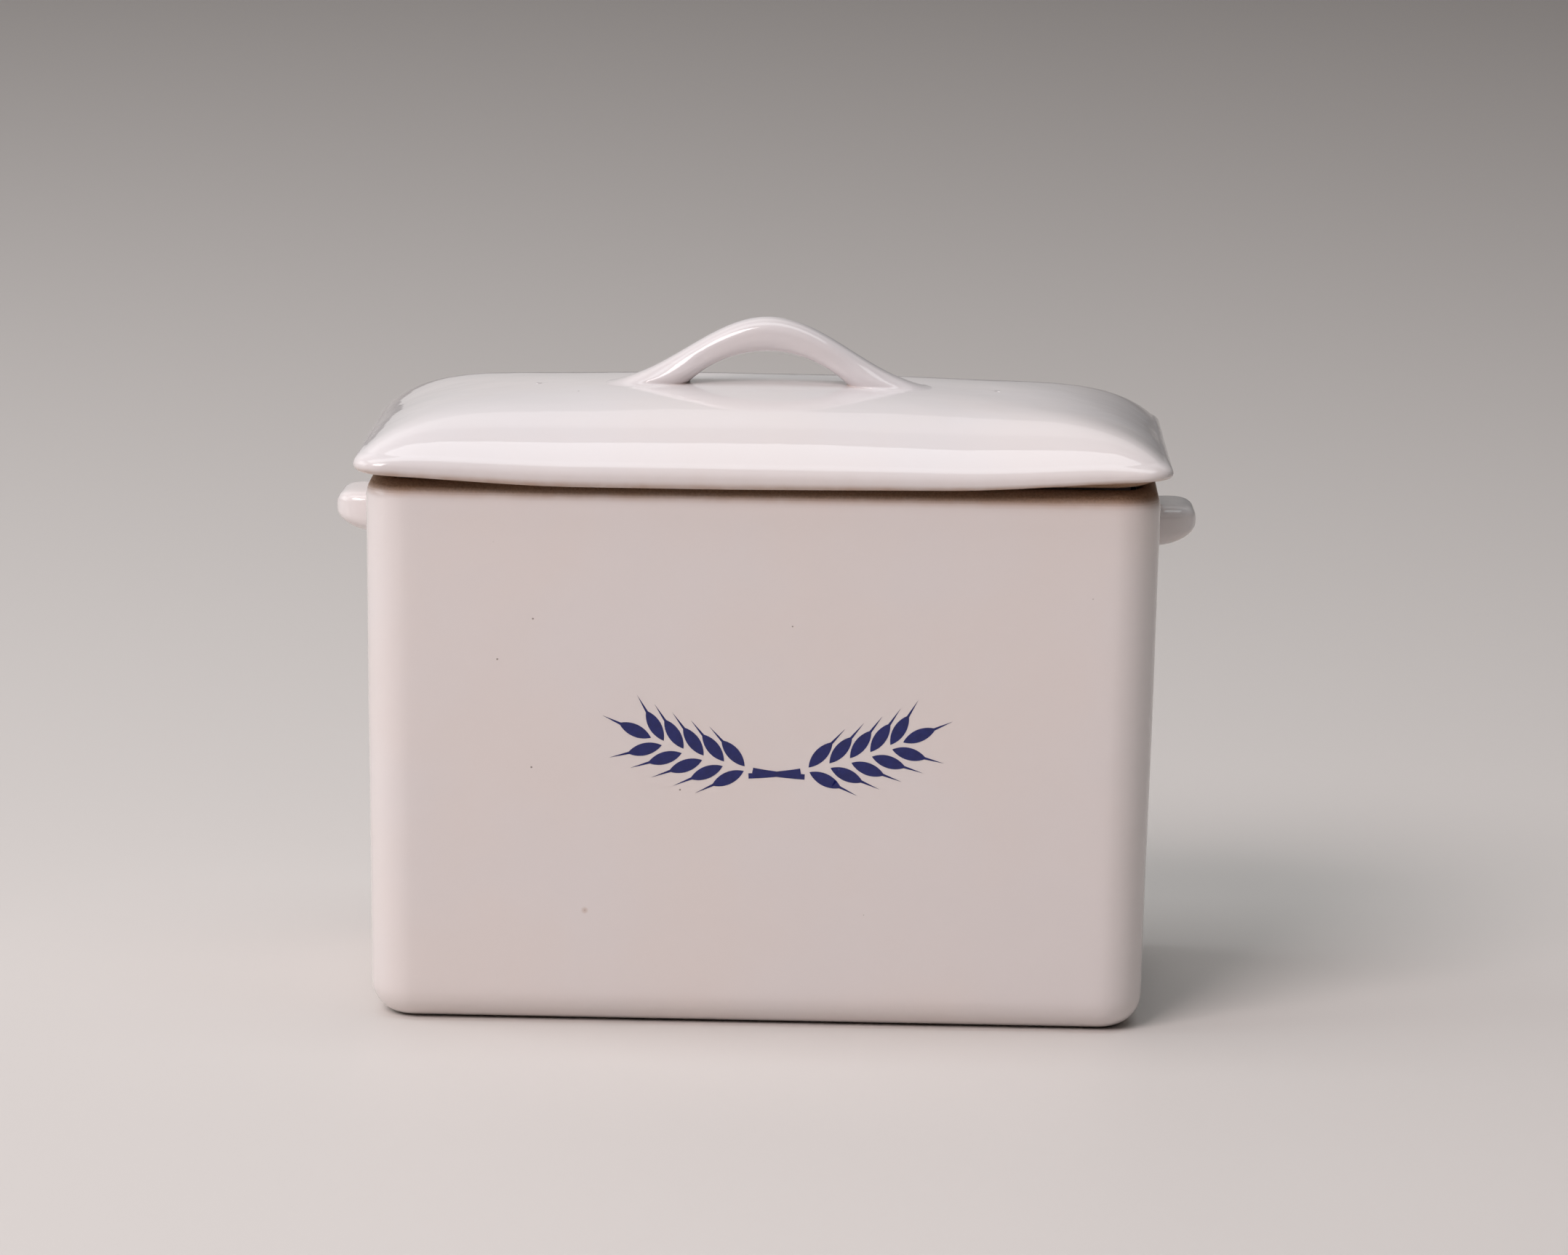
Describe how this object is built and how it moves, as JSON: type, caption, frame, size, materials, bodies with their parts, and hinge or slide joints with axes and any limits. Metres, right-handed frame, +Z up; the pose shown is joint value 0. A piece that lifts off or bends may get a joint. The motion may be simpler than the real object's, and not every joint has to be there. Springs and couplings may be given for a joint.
{
  "type": "bread bin",
  "caption": "Small glazed ceramic bread bin: a rounded rectangular cast box with an ear at each end and a loose domed lid with an arched strap handle.",
  "frame": {"origin": "middle of the flat base", "axes": "+X along the length, -Y the decorated front, +Z up out of the lid"},
  "size_m": [0.1438, 0.0746, 0.1135],
  "materials": {
    "bin_glaze": "thick glossy warm-white glaze over slip-cast earthenware",
    "ear_glaze": "thick glossy warm-white glaze over slip-cast earthenware",
    "lid_glaze": "thick glossy warm-white glaze over slip-cast earthenware",
    "handle_glaze": "thick glossy warm-white glaze over slip-cast earthenware",
    "blue_transfer": "dark blue ceramic transfer fired on the glaze, satin gloss"
  },
  "bodies": {
    "bin": {"bin_body": "bin_glaze", "side_handle_left": "ear_glaze", "side_handle_right": "ear_glaze", "front_motif": "blue_transfer"},
    "lid": {"lid": "lid_glaze", "lid_handle": "handle_glaze"}
  },
  "joints": [
    {"name": "lid_lift", "type": "slide", "parent": "bin", "child": "lid", "axis": [0, 0, 1], "range_m": [0, 0.04]}
  ]
}
